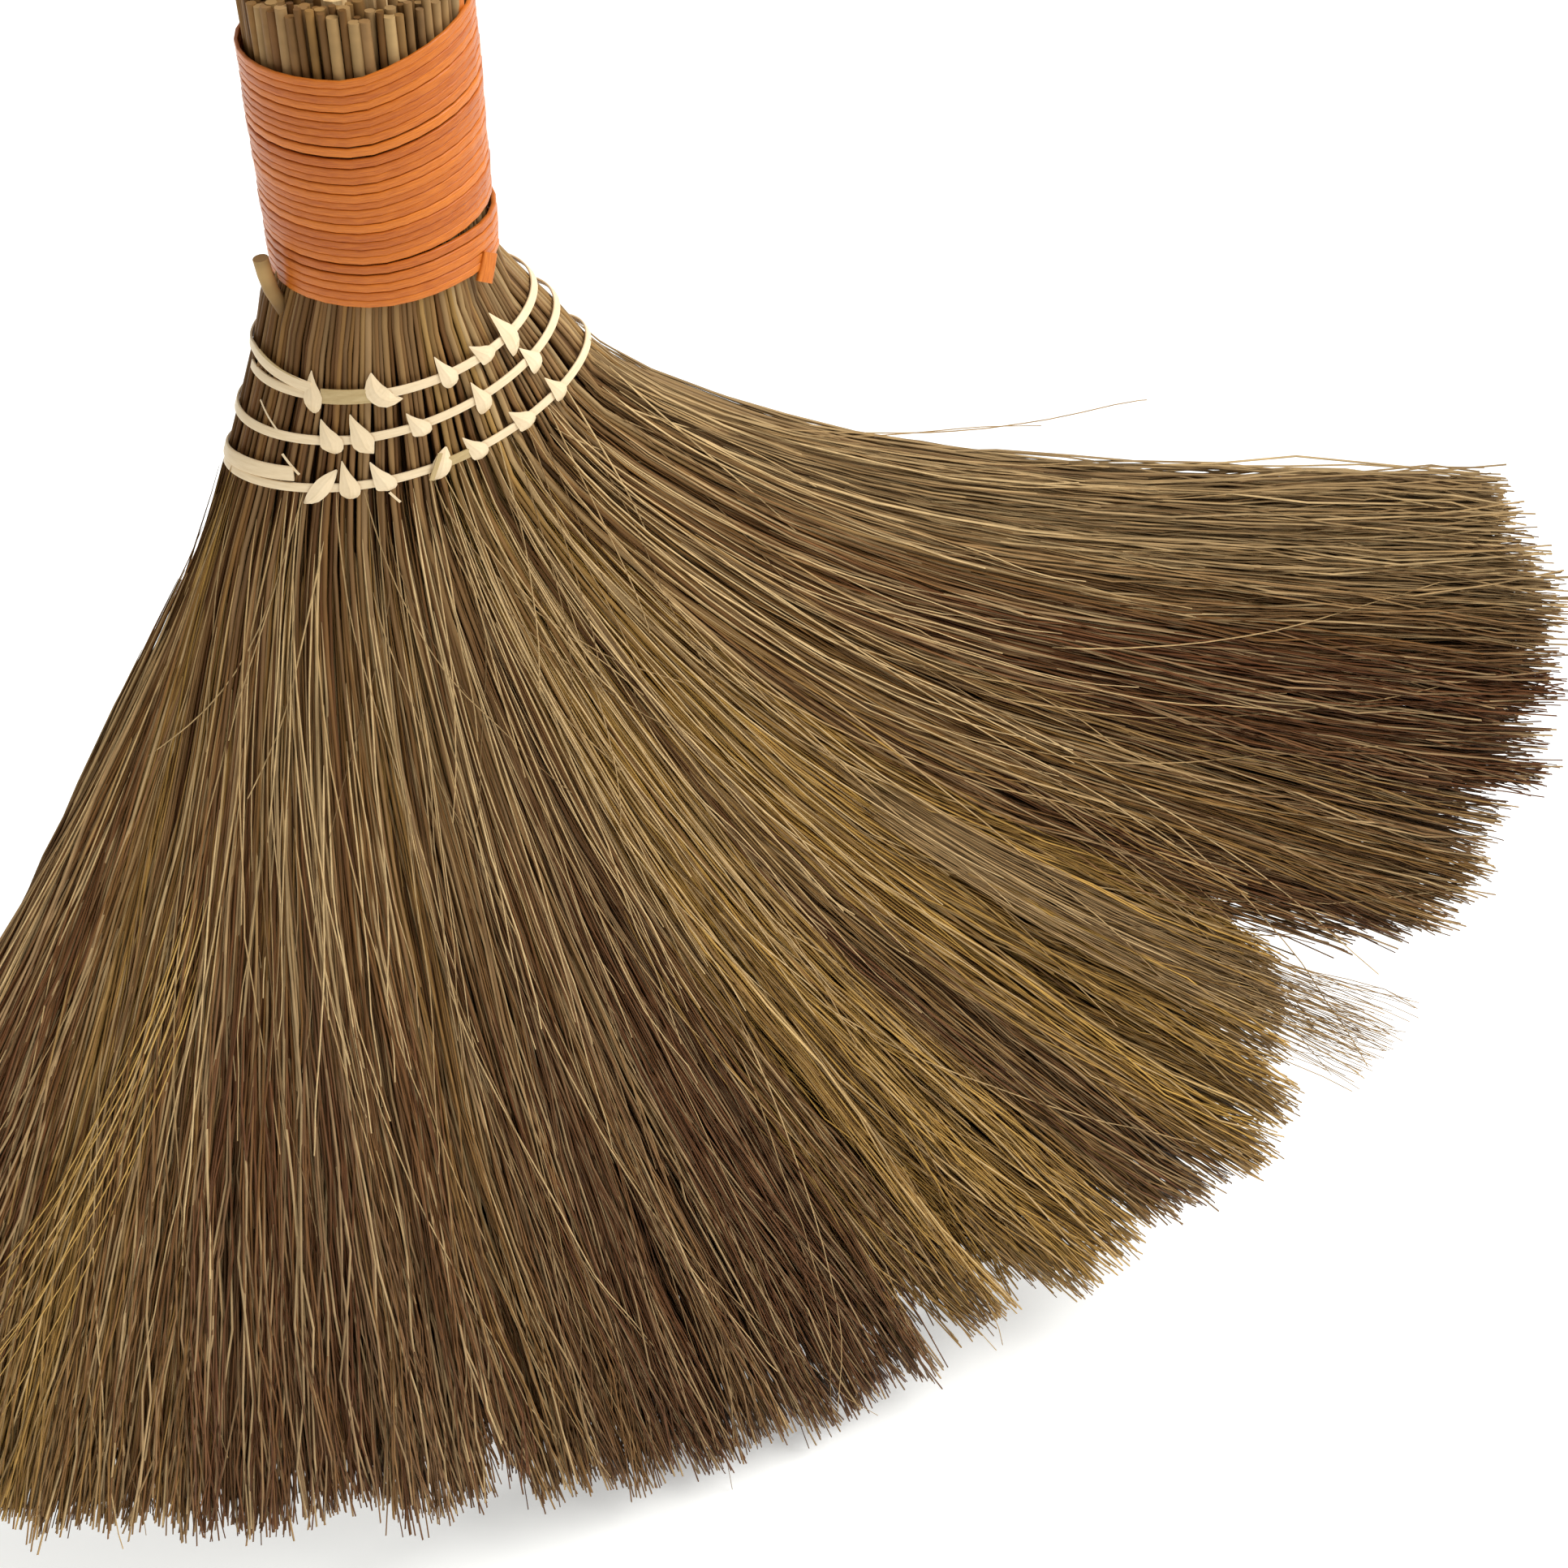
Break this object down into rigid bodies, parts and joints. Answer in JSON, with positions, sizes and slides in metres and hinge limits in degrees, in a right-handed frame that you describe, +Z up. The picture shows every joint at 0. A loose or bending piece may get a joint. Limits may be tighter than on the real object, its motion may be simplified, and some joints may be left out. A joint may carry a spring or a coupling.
{
  "type": "floor broom",
  "caption": "Natural grass floor broom: a wide flat fan of strands laced with split rattan, bound with orange cord on a wooden pole.",
  "frame": {"origin": "on the floor under the lowest tips, at the middle of the outline seen from above", "axes": "+Z up along the pole, +X to the longer side of the fan, -Y to the pictured face"},
  "size_m": [0.5734, 0.0476, 1],
  "materials": {
    "grass_strands": "dry fibre",
    "grass_stalks": "dry stalk",
    "split_rattan": "satin skin",
    "orange_cord": "soft sheen",
    "pole_wood": "plain sanded",
    "peg_wood": "fresh cut"
  },
  "bodies": {
    "root": {"binding_cord": "orange_cord", "bristle_fan_1": "grass_strands", "bristle_fan_2": "grass_strands", "bristle_fan_3": "grass_strands", "bristle_fan_4": "grass_strands", "handle_pole": "pole_wood", "row_1_hoop": "split_rattan", "row_1_tie_1": "split_rattan", "row_1_tie_2": "split_rattan", "row_1_tie_3": "split_rattan", "row_1_tie_4": "split_rattan", "row_1_tie_5": "split_rattan", "row_2_hoop": "split_rattan", "row_2_tie_1": "split_rattan", "row_2_tie_2": "split_rattan", "row_2_tie_3": "split_rattan", "row_2_tie_4": "split_rattan", "row_2_tie_5": "split_rattan", "row_3_hoop": "split_rattan", "row_3_tie_1": "split_rattan", "row_3_tie_2": "split_rattan", "row_3_tie_3": "split_rattan", "row_3_tie_4": "split_rattan", "row_3_tie_5": "split_rattan", "row_3_tie_6": "split_rattan", "row_3_tie_7": "split_rattan", "stalk_bunch_1": "grass_stalks", "stalk_bunch_2": "grass_stalks", "stalk_bunch_3": "grass_stalks", "stalk_bunch_4": "grass_stalks", "stub_stalk": "grass_stalks", "wedge_left": "peg_wood", "wedge_right": "peg_wood"}
  },
  "joints": []
}
